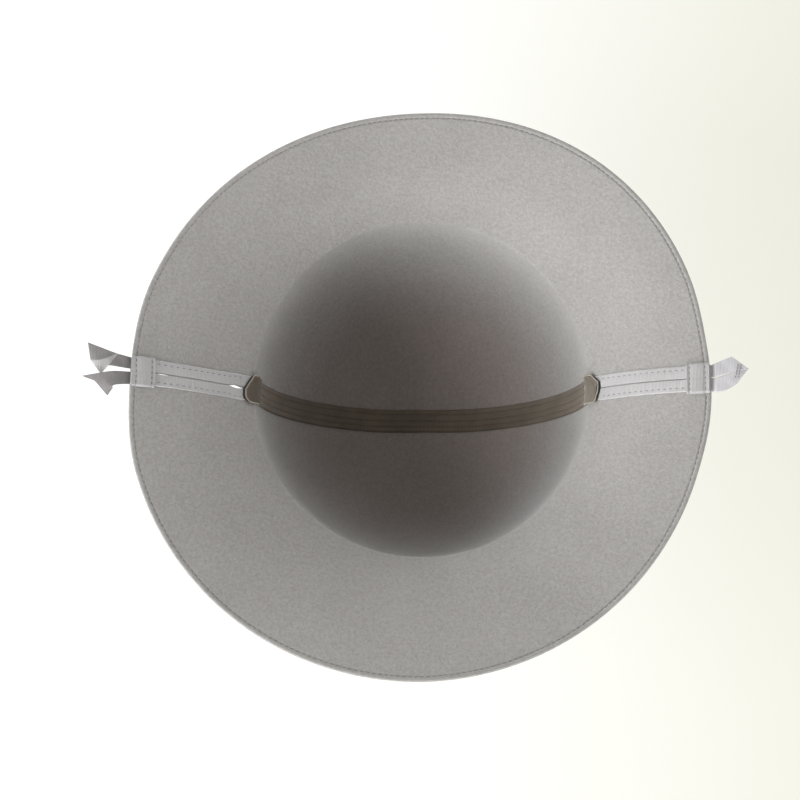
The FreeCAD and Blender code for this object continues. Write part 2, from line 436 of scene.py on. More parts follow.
def woven_material(
    name, colour, rib_pitch=0.00075, yarn_pitch=0.0004, rib_depth=0.0003, groove_tone=0.86, sheen=0.15,
    roughness=0.8, faded=0.92, selvedge=None,
):
    """Ribbed ribbon or tape: ribs across its length, finer yarns along it, and cloudy dye. A ribbon is
    lighter from selvedge, the distance of its edge from the seam line: a painted highlight along its edge."""
    material, shading, shader = new_material(name)
    run = shading.add("Attribute", attribute_name="weave").outputs["Vector"]
    ribs = shading.wave(run, "X", rib_pitch, 0.4)
    yarns = shading.wave(run, "Y", yarn_pitch, 0.8)
    fuzz = shading.noise(1800, 4, 0.6)
    clouds = shading.noise(90, 3, 0.5)
    low = tuple(c * groove_tone for c in colour)
    tones = [
        shading.ramp(ribs, [(0.1, low), (0.6, colour)]),
        shading.ramp(yarns, [(0.0, 0.94), (0.5, 1.0)]),
        shading.ramp(clouds, [(0.32, faded), (0.68, 1.0)]),
        shading.ramp(fuzz, [(0.3, 0.9), (0.65, 1.0)]),
    ]
    # painted highlight: the ribbon is darkened except for a thin line along its edge
    if selvedge is not None:
        outwards = shading.math("ABSOLUTE", shading.part(run, "Y"))
        edge = shading.remap(outwards, selvedge - 0.0004, selvedge)
        tones.append(shading.ramp(edge, [(0.0, 0.76), (1.0, 1.0)]))
    ribbed = shading.bump(ribs, 0.5, rib_depth)
    yarned = shading.bump(yarns, 0.25, rib_depth * 0.5, ribbed)
    shading.feed(shader, {
        "Base Color": shading.product(*tones),
        "Normal": shading.bump(fuzz, 0.3, 0.00015, yarned),
        "Roughness": roughness,
        "Specular IOR Level": 0.3,
        "Sheen Weight": sheen,
        "Sheen Roughness": 0.5,
    })
    return material


def thread_material(name, colour):
    """Twisted sewing thread."""
    material, shading, shader = new_material(name)
    twist = shading.noise(2600, 3, 0.6)
    dark = tuple(c * 0.7 for c in colour)
    light = tuple(min(1.0, c * 1.15) for c in colour)
    shading.feed(shader, {
        "Base Color": shading.ramp(twist, [(0.35, dark), (0.65, light)]),
        "Normal": shading.bump(twist, 0.5, 0.0001),
        "Roughness": 0.7,
    })
    return material


def wire_material(name):
    """Drawn spring steel, lightly scratched along its length."""
    material, shading, shader = new_material(name)
    scratches = shading.noise(700, 5, 0.7)
    shading.feed(shader, {
        "Metallic": 1.0,
        "Base Color": shading.ramp(scratches, [(0.3, 0.42), (0.7, 0.6)]),
        "Roughness": shading.ramp(scratches, [(0.3, 0.28), (0.7, 0.42)]),
    })
    return material


def olive_material(name, colour, sheen, roughness, faded):
    """Tape woven of finer yarns than the ribbon."""
    return woven_material(
        name, colour, rib_pitch=0.0006, yarn_pitch=0.0005, rib_depth=0.0002, groove_tone=0.85,
        sheen=sheen, roughness=roughness, faded=faded,
    )


FELT_GREY = felt_material("felt", (0.375, 0.359, 0.341))
# the bindings carry the painted highlight along their edges
GROSGRAIN = woven_material(
    "grosgrain", (0.71, 0.69, 0.687), rib_pitch=0.0008, groove_tone=0.83, selvedge=RIBBON_WIDTH * MM - 0.0001
)
GROSGRAIN_TAB = woven_material("grosgrain_tab", (0.66, 0.645, 0.655), rib_depth=0.0002, groove_tone=0.93)
GROSGRAIN_KEEPER = woven_material("grosgrain_keeper", (0.48, 0.466, 0.463))
# painted shade: darker copies of the ribbon for the ties, the second darker still for their most shaded faces
GROSGRAIN_PAINTED_SHADE = woven_material("grosgrain_painted_shade", (0.4, 0.388, 0.378), sheen=0.12)
GROSGRAIN_PAINTED_DEEP_SHADE = woven_material(
    "grosgrain_painted_deep_shade", (0.235, 0.222, 0.217), rib_depth=0.0002, groove_tone=0.88, sheen=0.1
)
OLIVE = olive_material("olive_tape", (0.21, 0.168, 0.124), sheen=0.25, roughness=0.5, faded=0.78)
# painted sheen: a greyer copy of the tape for the patch on the loop's side
OLIVE_PAINTED_SHEEN = olive_material("olive_painted_sheen", (0.2, 0.17, 0.132), sheen=0.3, roughness=0.5, faded=0.7)
# painted shade: a darker copy of the tape for the patch on the ties' side
OLIVE_PAINTED_SHADE = olive_material("olive_painted_shade", (0.13, 0.105, 0.078), sheen=0.15, roughness=0.6, faded=0.75)
# frayed raw edge of the tape, lighter also as a painted highlight where the edge catches the light
FRAY_AND_HIGHLIGHT = olive_material("tape_edge", (0.42, 0.385, 0.32), sheen=0.2, roughness=0.8, faded=0.92)
THREAD = thread_material("grey_thread", (0.2, 0.19, 0.185))
DARK_THREAD = thread_material("dark_thread", (0.05, 0.042, 0.034))
WIRE = wire_material("wire")


def sewn(name, verts, faces, thread=THREAD, slot="grey_thread", body="hat"):
    attach(new_piece(name, verts, faces, thread), body, slot, name)


# ---------------------------------------------------------------- felt halves

EDGE_ROUND = 0.45            # how far the cut edges are rounded
EDGE_SEAM_INSET = 2.6        # stitch row along the brim's edge
EDGE_GROOVE = 0.32           # how deep that row pulls the felt in
EDGE_STITCH_DEPTHS = (0.26, FELT - 0.18)
CROWN_ROWS = 150
CROWN_CAP = 1.2              # the crown's middle is closed by one face of this radius
EDGE_STRIP = 12.0            # the brim's edge, which has rows of its own
EDGE_ROWS = (9.5, 7.5, 6.0, 5.0, 4.2, 3.6, 3.2, 2.9, 2.6, 2.3, 2.0, 1.6, 1.1, 0.6, 0.0)
HALF_COLUMNS = 150
# Rows of the rounded rim, as (share of the felt's thickness, distance from the cut edge).
RIM_ROWS = ((0.12, 0.28), (0.3, 0.06), (0.5, 0.0), (0.7, 0.06), (0.88, 0.28))


def seam_limit(side, radius):
    """Distance of a felt half's cut edge from the seam plane: nothing in the crown, the slit in the brim."""
    slit = slit_gap(side, radius) + RIBBON + 0.1
    return slit * smooth(SLIT_START - 4, SLIT_START + 1, radius)


def felt_point(half, u, v, depth, inset):
    """Point of a felt half: u from its right slit (0) to its left (1), v a pair (share of the length up to
    the edge strip, distance from the edge or None), depth below the visible face, inset from cut edges."""
    share, from_edge = v
    rough_angle = half * math.pi * u
    rim = outline_radius(rough_angle, inset)
    s_edge = section.length_at(rim)
    s = s_edge - from_edge if from_edge is not None else share * (s_edge - EDGE_STRIP)
    s = max(s, CROWN_CAP)
    radius = section.at(s)[0]
    limits = [seam_limit(side, radius) + inset for side in (1, -1)]
    start, end = [math.asin(min(0.9, limit / max(radius, 0.1))) for limit in limits]
    angle = half * (start + (math.pi - end - start) * u)
    groove = 0.0
    if from_edge is not None:
        away = from_edge + inset - EDGE_SEAM_INSET
        groove = EDGE_GROOVE * math.exp(-(away / 0.42) ** 2)
        groove += 0.15 * (1 - smooth(0.2, 1.6, from_edge + inset))
    if depth < FELT / 2:
        depth += groove
    else:
        depth -= groove * 0.7
    return on_felt(angle, s, depth)


def felt_half(name, half):
    """Closed felt shell of one half, crown and brim, with rounded cut edges."""
    us = [i / HALF_COLUMNS for i in range(HALF_COLUMNS + 1)]
    vs = [(k / CROWN_ROWS, None) for k in range(1, CROWN_ROWS + 1)] + [(1.0, d) for d in EDGE_ROWS]
    verts, starts = [], []
    for depth in (0.0, FELT):
        starts.append(len(verts))
        verts.extend(felt_point(half, u, v, depth, EDGE_ROUND) for v in vs for u in us)
    top, under = starts
    width = len(us)
    faces = grid_faces(len(vs), width, top)
    faces += [f[::-1] for f in grid_faces(len(vs), width, under)]
    faces += [tuple(range(top, top + width)), tuple(range(under, under + width))[::-1]]

    border = [(0, row) for row in range(len(vs) - 1, -1, -1)]
    border += [(HALF_COLUMNS, row) for row in range(len(vs))]
    border += [(column, len(vs) - 1) for column in range(HALF_COLUMNS - 1, 0, -1)]
    loops = [[top + row * width + column for column, row in border]]
    for share, inset in RIM_ROWS:
        first = len(verts)
        verts.extend(felt_point(half, us[column], vs[row], share * FELT, inset) for column, row in border)
        loops.append(list(range(first, first + len(border))))
    loops.append([under + row * width + column for column, row in border])
    for upper, lower in zip(loops, loops[1:]):
        for i in range(len(border)):
            k = (i + 1) % len(border)
            faces.append((upper[i], lower[i], lower[k], upper[k]))
    if half < 0:
        faces = [f[::-1] for f in faces]
    piece = new_piece(name, verts, faces, FELT_GREY)
    return attach(piece, "hat", "felt", name)


def edge_place(half, depth):
    """Place along the brim's stitch row, in millimetres from its right end."""
    turn = 1 / (BRIM_RADIUS - EDGE_SEAM_INSET)

    def place(t, h):
        angle = half * (t * turn)
        s = section.length_at(outline_radius(angle, EDGE_SEAM_INSET))
        return on_felt(angle, s, depth - h if depth < FELT / 2 else depth + h)
    return place


def edge_stitching(name, half):
    """Lockstitch on both faces, sunk into the groove that it pulls into the felt."""
    verts, faces = [], []
    length = math.pi * (BRIM_RADIUS - EDGE_SEAM_INSET)
    for depth in EDGE_STITCH_DEPTHS:
        place = edge_place(half, depth)
        stitch_row(verts, faces, place, 9.0, length - 9.0, pitch=3.0, length=2.1, radius=0.2)
    sewn(name, verts, faces)


WIRE_RADIUS = 0.5
WIRE_INSET = 1.5
WIRE_STOP = 0.03             # angle between a wire's end and the slit


def brim_wire(name, half):
    """Round wire inside the felt's edge, ending before the slits."""
    loops = []
    count, sides = 180, 10
    for i in range(count + 1):
        angle = half * (WIRE_STOP + (math.pi - 2 * WIRE_STOP) * i / count)
        loop = []
        for k in range(sides):
            turn = TAU * k / sides
            s = section.length_at(outline_radius(angle, WIRE_INSET + WIRE_RADIUS * math.cos(turn)))
            loop.append(on_felt(angle, s, FELT / 2 + 0.1 + WIRE_RADIUS * math.sin(turn)))
        loops.append(loop)
    piece = tube_band(name, loops, WIRE)
    return attach(piece, "hat", "wire", name)


CROWN_SEAM_ROWS = (-3.0, 3.0)


def crown_seam_stitching():
    """Topstitching on the outside of the crown, each side of the seam."""
    verts, faces = [], []
    reach = section.length_at(SLIT_START - 1)
    for row in CROWN_SEAM_ROWS:
        def place(t, h, row=row):
            return on_hat(t, row, -FELT - h)
        stitch_row(verts, faces, place, -reach, reach, pitch=3.2, length=2.3, radius=0.24, rise=0.1)
    sewn("crown_seam_stitching", verts, faces)


# ---------------------------------------------------------------- slit bindings

KEEPER_LENGTH = 12.4
BINDING_ROW = 4.9            # stitch row of a binding, from the seam plane
BINDING_LEAD = 5.0           # how far its upper leaf runs in beyond the slit
BINDING_STEPS = 230


def binding_section(gap, selvedge, low):
    """Closed loop (y, h) of a ribbon folded over the felt edge, from its upper selvedge round the fold and
    back at height low."""
    top = RIBBON + 0.05
    outer = [(selvedge, 0.12), (selvedge - 0.08, top - 0.12), (selvedge - 0.5, top)]
    for share in (0.75, 0.62, 0.5, 0.36, 0.22, 0.1):
        y = gap + (selvedge - gap) * share
        dimple = 0.18 * math.exp(-((y - BINDING_ROW) / 0.7) ** 2)
        outer.append((y, top - dimple))
    middle = (top + low) / 2
    tall = (top - low) / 2
    for k in range(1, 8):
        turn = math.pi * k / 8
        outer.append((gap + 0.5 - 0.5 * math.sin(turn) ** 0.7, middle + tall * math.cos(turn)))
    for share in (0.1, 0.36, 0.62, 0.9):
        outer.append((gap + (selvedge - gap) * share, low))
    hollow = max(0.02, tall - RIBBON)
    outer.append((selvedge - 0.05, min(low + 0.3, middle - hollow)))
    inner = []
    for share in (0.9, 0.62, 0.3):
        inner.append((gap + RIBBON + (selvedge - gap - RIBBON) * share, middle - hollow))
    for k in range(7, 0, -1):
        turn = math.pi * k / 8
        y = gap + RIBBON + 0.4 - 0.4 * math.sin(turn) ** 0.7
        inner.append((y, middle + hollow * math.cos(turn)))
    for share in (0.3, 0.62, 0.9):
        inner.append((gap + RIBBON + (selvedge - gap - RIBBON) * share, middle + hollow))
    return outer + inner


def binding(name, side, half):
    """Grosgrain ribbon folded over one edge of a slit; its upper leaf runs in under the tape's patch."""
    s_start = section.length_at(SLIT_START) - BINDING_LEAD
    s_end = section.length_at(BRIM_RADIUS - 0.2)
    loops, weave = [], []
    for i in range(BINDING_STEPS + 1):
        s = s_start + (s_end - s_start) * i / BINDING_STEPS
        radius = section.at(s)[0]
        gap = slit_gap(side, radius)
        scallop = 0.07 * math.sin(TAU * s / 0.95) + 0.12 * noise.noise((s * 0.25, side * 3.0, half * 5.0))
        selvedge = 0.3 * gap + RIBBON_WIDTH + scallop
        folded = smooth(SLIT_START - 1.5, SLIT_START + 0.8, radius)
        ring = binding_section(gap, selvedge, 0.03 - (FELT + RIBBON + 0.08) * folded)
        puff = 0.05 * noise.noise((s * 0.4, side * 7.0, half * 2.0))
        loops.append([on_hat(side * s, half * y, h + puff) for y, h in ring])
        weave.extend((s * MM, y * MM) for y, h in ring)
    piece = tube_band(name, loops, GROSGRAIN, weave)
    return attach(piece, "hat", "grosgrain", name)


def binding_stitching(name, side, half):
    verts, faces = [], []
    s_start = section.length_at(SLIT_START + 1.2)
    s_end = section.length_at(BRIM_RADIUS - KEEPER_LENGTH - 0.4)

    def place(t, h):
        radius = section.at(t)[0]
        wander = 0.12 * noise.noise((t * 0.15, side * 2.0, half * 9.0))
        y = BINDING_ROW + slit_gap(side, radius) - 0.15 + wander
        return on_hat(side * t, half * y, RIBBON - 0.12 + h)
    stitch_row(verts, faces, place, s_start, s_end, pitch=3.5, length=2.1, radius=0.2)
    sewn(name, verts, faces)


# ---------------------------------------------------------------- keepers

KEEPER_HALF_WIDTH = 8.3
KEEPER_ROWS = (1.7, 10.0)    # stitch rows, from the keeper's inner end


def keeper_height(along, across):
    """Top of a keeper above the visible face: folded ends, sunk stitch rows and a puffed middle."""
    height = 1.25
    height += 0.35 * smooth(0, 1.5, along) * bump(along, 6.0, 5.0)
    for row in KEEPER_ROWS:
        height -= 0.32 * math.exp(-((along - row) / 0.7) ** 2)
    height += 0.22 * bump(along, 0.4, 1.0) + 0.15 * bump(along, KEEPER_LENGTH, 1.2)
    height -= 0.12 * bump(across, 0.0, 1.5)
    height -= 0.9 * smooth(KEEPER_HALF_WIDTH - 1.1, KEEPER_HALF_WIDTH, abs(across))
    return height


def keeper(name, side):
    """Short grosgrain strap sewn over both bindings at the brim's edge."""
    s_start = section.length_at(BRIM_RADIUS - KEEPER_LENGTH)
    rows, columns = 44, 46
    verts, weave = [], []
    for level in (1, 0):
        for i in range(rows + 1):
            along = KEEPER_LENGTH * i / rows
            for j in range(columns + 1):
                across = KEEPER_HALF_WIDTH * (2 * j / columns - 1)
                scallop = 0.08 * math.sin(TAU * along / 0.9) if j in (0, columns) else 0.0
                wave = 0.18 * noise.noise((across * 0.35, side * 4.0, 1.0 if i > rows / 2 else 6.0))
                run = along + (wave if i in (0, 1, rows - 1, rows) else 0.0)
                h = keeper_height(along, across) if level else RIBBON - 0.05
                verts.append(on_hat(side * (s_start + run), across + scallop, h))
                weave.append((along * MM, across * MM))
    width = columns + 1
    size = (rows + 1) * width
    faces = grid_faces(rows + 1, width) + [f[::-1] for f in grid_faces(rows + 1, width, size)]
    border = list(range(width)) + [i * width + columns for i in range(1, rows + 1)]
    border += [rows * width + j for j in range(columns - 1, -1, -1)]
    border += [i * width for i in range(rows - 1, 0, -1)]
    for a, b in zip(border, border[1:] + border[:1]):
        faces.append((a, size + a, size + b, b))
    piece = new_piece(name, verts, faces, GROSGRAIN_KEEPER, weave)
    return attach(piece, "hat", "grosgrain", name)


def keeper_stitching(name, side):
    verts, faces = [], []
    s_start = section.length_at(BRIM_RADIUS - KEEPER_LENGTH)
    for row in KEEPER_ROWS:
        def place(t, h, row=row):
            return on_hat(side * (s_start + row), t, keeper_height(row, t) + h)
        stitch_row(verts, faces, place, -7.2, 7.2, pitch=2.9, length=2.0, radius=0.22)
    sewn(name, verts, faces)


# ---------------------------------------------------------------- tape over the crown's seam

TAPE_ROWS = (-6.5, -3.5, 0.0, 4.05)
PATCH_LENGTHS = {-1: 14.5, 1: 11.5}
SHADOW_LINE_REACH = 7.0              # the dark cord of painted shadow lies on the bindings this far across
PATCH_OVERLAP = 6.0          # how far the tape ends inside a patch


def tape_height(y, s):
    """Top of the tape above the felt, pulled down along its stitch rows."""
    height = TAPE
    for row in TAPE_ROWS:
        height -= 0.4 * math.exp(-((y - row) / 0.45) ** 2)
    height += 0.1 * noise.noise((s * 0.12, y * 0.25, 3.0))
    return height


def tape_half_width(s):
    return TAPE_WIDTH / 2 + 0.12 * noise.noise((s * 0.07, 8.0, 0.0)) + 0.05 * noise.noise((s * 0.6, 2.0, 0.0))


def cloth_strip(name, s_values, half_width, top, under, columns, material):
    """Closed strip over the seam line: half_width(s), top(y, s) and under are in millimetres."""
    loops, weave = [], []
    for s in s_values:
        wide = half_width(s)
        loop = []
        for j in range(columns + 1):
            y = wide * (1 - 2 * j / columns)
            edge = smooth(0, 0.7, wide - abs(y))
            loop.append((y, under + 0.15 + (top(y, s) - under - 0.15) * (0.35 + 0.65 * edge)))
        for j in range(0, 9):
            loop.append((-wide * 0.98 * (1 - j / 4), under))
        loops.append([on_hat(s, y, h) for y, h in loop])
        weave.extend((s * MM, y * MM) for y, h in loop)
    return tube_band(name, loops, material, weave)


def spread(start, end, step):
    count = max(2, round(abs(end - start) / step))
    return [start + (end - start) * i / count for i in range(count + 1)]


def crown_seam_tape():
    reach = section.length_at(SLIT_START) - PATCH_OVERLAP
    values = spread(-reach, reach, 1.1)
    piece = cloth_strip("crown_seam_tape", values, tape_half_width, tape_height, 0.0, 64, OLIVE)
    return attach(piece, "hat", "olive_tape", "crown_seam_tape")


def tape_stitching():
    verts, faces = [], []
    reach = section.length_at(SLIT_START) - PATCH_LENGTHS[-1]
    for row in TAPE_ROWS:
        def place(t, h, row=row):
            y = row + 0.15 * noise.noise((t * 0.05, row, 5.0))
            return on_hat(t, y, tape_height(y, t) + h)
        stitch_row(verts, faces, place, -reach, reach, pitch=2.3, length=1.5, radius=0.17, rise=0.2)
    sewn("tape_stitching", verts, faces, DARK_THREAD, "dark_thread")


def tape_patch(name, side):
    """Patch over one end of the tape, with cut corners and thick raw edges, and a dark cord along its outer
    end as a painted shadow line.
    """
    reach = section.length_at(SLIT_START) + 0.6
    low = reach - PATCH_LENGTHS[side]

    def end_at(y):
        """Where the patch ends: the corners of its outer end are cut off."""
        if side > 0:
            cut = 5.2 * clamp((y - 3.2) / 4.6) + 2.6 * clamp((-y - 0.5) / 7.3)
        else:
            cut = 6.0 * clamp((y + 1.0) / 8.9) + 3.0 * clamp((-y - 4.2) / 3.6) ** 1.5
        return reach - cut + 0.3 * noise.noise((y * 0.6, side * 3.0, 0.0))

    def start_at(y):
        """Where the patch starts: bowed on the loop's side, slanting on the ties'."""
        bow = 2.4 * (1 - (y / 7.5) ** 2) if side > 0 else -0.3 * y
        return low + bow + 0.3 * noise.noise((y * 0.5, side * 5.0, 1.0))

    def half_width(share):
        return TAPE_WIDTH / 2 + 0.7 + 0.25 * noise.noise((share * 5.0, side, 0.0))

    def place(share, y, h):
        return on_hat(side * (start_at(y) + (end_at(y) - start_at(y)) * share), y, h)

    def rise_at(share, y):
        """Height of the patch above the tape."""
        rolled = bump(share, 0.0, 0.1) + bump(share, 1.0, 0.1)
        uneven = 0.25 * noise.noise((share * 5.0, y * 0.4, side * 2.0))
        return (0.75 + 0.2 * rolled + uneven) * smooth(-0.5, 0.7, half_width(share) - abs(y))

    rows, columns = 34, 40
    loops, weave = [], []
    for i in range(rows + 1):
        share = i / rows
        wide = half_width(share)
        across = [wide * (1 - 2 * j / columns) for j in range(columns + 1)]
        loop = [place(share, y, TAPE + rise_at(share, y)) for y in across]
        loop += [place(share, y * 0.98, 0.6) for y in across[::-4]]
        loops.append(loop)
        weave.extend((share * PATCH_LENGTHS[side] * MM, y * MM) for y in across + across[::-4])
    # the loop's side patch gets the greyer copy as painted sheen, the ties' side patch the darker copy as
    # painted shade
    piece = tube_band(name, loops, OLIVE_PAINTED_SHEEN if side > 0 else OLIVE_PAINTED_SHADE, weave)
    border = [(share, half_width(share)) for share in spread(0, 1, 0.05)]
    border += [(1.0, y) for y in spread(half_width(1), -half_width(1), 0.5)[1:-1]]
    border += [(share, -half_width(share)) for share in spread(1, 0, 0.05)]
    border += [(0.0, y) for y in spread(-half_width(0), half_width(0), 0.5)[1:-1]]
    rise = [TAPE + (0.7 if side > 0 else 0.3 + 0.4 * share) for share, y in border]
    path = [place(share, y, h) for (share, y), h in zip(border, rise)]
    # the raw edge: frayed, its lighter colour also a painted highlight
    fringe = lumpy_ring(name + "_edge", path, 0.4, FRAY_AND_HIGHLIGHT)
    fringe.parent = piece
    attach(piece, "hat", "olive_tape", name)
    # painted shadow: a dark cord along the patch's outer end, where its edge shades the bindings
    shadow_line = [place(1.06, y, RIBBON + 0.3) for y in spread(SHADOW_LINE_REACH, -SHADOW_LINE_REACH, 0.5)]
    attach(cord(name + "_shadow_line", shadow_line, 0.3, DARK_THREAD), "hat", "dark_thread")


def girth_loop(before, centre, after, radius, sides=8):
    """Ring of points round a cord at centre."""
    along = (after - before).normalized()
    across = along.cross(Vector((0, 0, 1))).normalized()
    up = across.cross(along)
    turns = [TAU * k / sides for k in range(sides)]
    return [centre + (across * math.cos(turn) + up * math.sin(turn)) * radius * MM for turn in turns]


def lumpy_ring(name, path, radius, material):
    """Closed frayed edge along a path."""
    verts, faces = [], []
    count, sides = len(path), 8
    for i, centre in enumerate(path):
        thick = radius * (1 + 0.35 * noise.noise((i * 0.7, radius, path[0].x * 90)))
        verts.extend(girth_loop(path[i - 1], centre, path[(i + 1) % count], thick, sides))
    for i in range(count):
        k = (i + 1) % count
        for m in range(sides):
            n = (m + 1) % sides
            faces.append((i * sides + m, i * sides + n, k * sides + n, k * sides + m))
    return new_piece(name, verts, faces, material, [(v.x, v.y) for v in verts])


def cord(name, path, radius, material):
    """Open round thread along a path."""
    last = len(path) - 1
    loops = [girth_loop(path[max(0, i - 1)], p, path[min(last, i + 1)], radius) for i, p in enumerate(path)]
    return tube_band(name, loops, material)


# ---------------------------------------------------------------- loose ribbon ends

EDGE_HEIGHT = section.at(section.length_at(BRIM_RADIUS))[1]
STRIP = 0.45                 # thickness of a loose ribbon end
BAR_TACK_ROWS = (12.6, 14.2)


def at_edge(side, reach, y, lift):
    """Place beyond the brim's edge: reach outwards, y across, lift above the edge's height."""
    return Vector((side * (BRIM_RADIUS + reach) + SLIT_SHIFT, y + sway(side), EDGE_HEIGHT + lift)) * MM


def with_modifiers_applied(piece):
    """Replaces the piece's mesh by what its modifiers make of it."""
    graph = bpy.context.evaluated_depsgraph_get()
    made = bpy.data.meshes.new_from_object(piece.evaluated_get(graph), depsgraph=graph)
    piece.modifiers.clear()
    piece.data = made
    return piece


def folded_cloth(name, side, corners, faces, folds, sharp, crinkle, cloth, deep_shaded_faces=()):
    """Ribbon end through named corners (reach, y, lift), with soft folds, its outline kept crisp and its
    sharp corners cut square. The listed faces get a darker copy of the ribbon: painted shade."""
    names = list(corners)
    verts = [at_edge(side, *corners[key]) for key in names]
    weave = [(corners[key][0] * MM, corners[key][1] * MM) for key in names]
    index_faces = [tuple(names.index(key) for key in face) for face in faces]
    piece = new_piece(name, verts, index_faces, cloth, weave)
    mesh = piece.data
    # painted shade: the darkest copy of the ribbon, for the listed faces
    mesh.materials.append(GROSGRAIN_PAINTED_DEEP_SHADE)
    for number in deep_shaded_faces:
        mesh.polygons[number].material_index = 1
    crease = mesh.attributes.new("crease_edge", "FLOAT", "EDGE")
    shared = {}
    for polygon in mesh.polygons:
        for key in polygon.edge_keys:
            shared[key] = shared.get(key, 0) + 1
    for edge in mesh.edges:
        ends = tuple(sorted(edge.vertices))
        pair = {names[ends[0]], names[ends[1]]}
        if shared.get(ends, 0) < 2:
            crease.data[edge.index].value = 0.9
        elif pair in folds:
            crease.data[edge.index].value = 0.75
    corner = mesh.attributes.new("crease_vert", "FLOAT", "POINT")
    for i, key in enumerate(names):
        corner.data[i].value = 1.0 if key in sharp else 0.0
    rounder = piece.modifiers.new("rounder", "SUBSURF")
    rounder.levels = 4
    with_modifiers_applied(piece)
    for vertex in piece.data.vertices:
        co = vertex.co / MM
        wave = noise.noise((co.x * 0.22, co.y * 0.22, side * 3.0)) * crinkle
        vertex.co.z += wave * MM
    thicker = piece.modifiers.new("thicker", "SOLIDIFY")
    thicker.thickness = STRIP * MM
    thicker.offset = 0.0
    with_modifiers_applied(piece)
    piece.data.polygons.foreach_set("use_smooth", [True] * len(piece.data.polygons))
    return piece


def ride_from_edge(piece):
    """Bakes the ribbon's placement into its mesh."""
    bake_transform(piece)


def back_tie():
    """Upper tie: folded lengthwise at its root, open at its slanted end."""
    corners = {
        "root_top": (-1.2, 7.2, -1.3), "root_low": (-1.2, 1.2, -1.3),
        "fold_top": (6.4, 8.6, 3.0), "fold_low": (11.0, 2.2, 4.2),
        "ridge": (15.8, 4.6, 4.6), "tip_top": (21.9, 14.0, 6.6),
        "tip_side": (20.8, 5.6, 2.6), "tip_low": (15.8, -1.3, -0.6),
    }
    faces = [
        ("root_low", "root_top", "fold_top", "fold_low"),
        ("fold_low", "fold_top", "ridge", "tip_low"),
        ("fold_top", "tip_top", "tip_side", "ridge"),
        ("ridge", "tip_side", "tip_low"),
    ]
    folds = [{"fold_top", "ridge"}, {"fold_top", "fold_low"}, {"ridge", "tip_side"}]
    sharp = ("root_top", "root_low", "fold_top", "tip_top", "tip_low", "tip_side")
    # painted shade: the tie is a darker copy of the ribbon, its root and inner fold darker still
    piece = folded_cloth(
        "left_back_tie", -1, corners, faces, folds, sharp, 0.35, GROSGRAIN_PAINTED_SHADE, deep_shaded_faces=(0, 2)
    )
    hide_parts("left_back_tie")
    ride_from_edge(piece)


def front_tie():
    """Lower tie: its swallow-tail end hangs a little."""
    corners = {
        "root_top": (-1.2, -0.3, -1.3), "root_low": (-1.2, -7.0, -1.3),
        "top": (9.0, -0.5, 3.6), "top_far": (15.8, -1.6, 3.2),
        "knee": (9.4, -7.8, 3.2), "tip_far": (25.6, -2.8, 0.2),
        "notch": (18.4, -5.6, 1.2), "tip_low": (11.8, -13.2, -0.6), "heel": (8.8, -9.6, 1.6),
    }
    faces = [
        ("root_low", "root_top", "top", "knee"),
        ("knee", "top", "top_far", "notch"),
        ("top_far", "tip_far", "notch"),
        ("knee", "notch", "tip_low", "heel"),
    ]
    folds = [{"top_far", "notch"}]
    sharp = ("root_top", "root_low", "tip_far", "tip_low", "heel")
    # painted shade: the whole tie is the darkest copy of the ribbon
    piece = folded_cloth("left_front_tie", -1, corners, faces, folds, sharp, 0.35, GROSGRAIN_PAINTED_DEEP_SHADE)
    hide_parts("left_front_tie")
    ride_from_edge(piece)


def loop_tab():
    """Two ribbon ends pinched at the brim's edge and sewn together at their point, a slit between them."""
    back = {
        "root_low": (-0.8, 0.3, -1.0), "root_top": (-0.8, 6.9, -1.0),
        "pinch_low": (0.7, 0.4, -1.3), "pinch_top": (0.7, 7.1, -1.2),
        "swell_low": (2.6, 0.6, 0.2), "swell_top": (2.6, 7.9, 0.3),
        "slit_end": (12.9, 3.3, 1.2), "shoulder": (11.2, 11.3, 0.6), "point": (20.0, 4.4, 1.6),
    }
    faces = [
        ("root_low", "pinch_low", "pinch_top", "root_top"),
        ("pinch_low", "swell_low", "swell_top", "pinch_top"),
        ("swell_low", "slit_end", "shoulder", "swell_top"),
        ("slit_end", "point", "shoulder"),
    ]
    folds = [{"swell_low", "swell_top"}]
    sharp = ("root_top", "root_low", "shoulder", "point", "slit_end")
    piece = folded_cloth("right_loop_back_ribbon", 1, back, faces, folds, sharp, 0.25, GROSGRAIN_TAB)
    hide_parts("right_loop_back_ribbon")
    ride_from_edge(piece)
    front = {
        "root_low": (-0.8, -7.2, -1.0), "root_top": (-0.8, -0.1, -1.0),
        "pinch_low": (0.7, -7.6, -1.2), "pinch_top": (0.7, 0.0, -1.3),
        "swell_low": (2.6, -8.0, 0.3), "swell_top": (2.6, 0.1, 0.2),
        "slit_end": (12.9, 3.1, 1.1), "under": (14.2, 4.6, 0.7), "heel": (8.6, -7.0, 0.5),
        "point": (19.6, 4.5, 1.1), "belly": (13.6, -3.2, 0.8),
    }
    faces = [
        ("root_low", "pinch_low", "pinch_top", "root_top"),
        ("pinch_low", "swell_low", "swell_top", "pinch_top"),
        ("swell_low", "heel", "slit_end", "swell_top"),
        ("heel", "belly", "point", "slit_end"),
        ("slit_end", "point", "under"),
    ]
    piece = folded_cloth("right_loop_front_ribbon", 1, front, faces, folds, sharp, 0.25, GROSGRAIN_TAB)
    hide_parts("right_loop_front_ribbon")
    ride_from_edge(piece)


def bar_tack():
    """Two close rows of stitches that join the loop tab's ribbons near their point."""
    verts, faces = [], []
    for reach in BAR_TACK_ROWS:
        def place(t, h, reach=reach):
            return at_edge(1, reach + 0.25 * t, t, 1.45 + 0.35 * t / 7 + h)
        stitch_row(verts, faces, place, -0.6, 7.2, pitch=1.7, length=1.3, radius=0.17)
    sewn("right_loop_bar_tack", verts, faces, body="right_loop_tab")


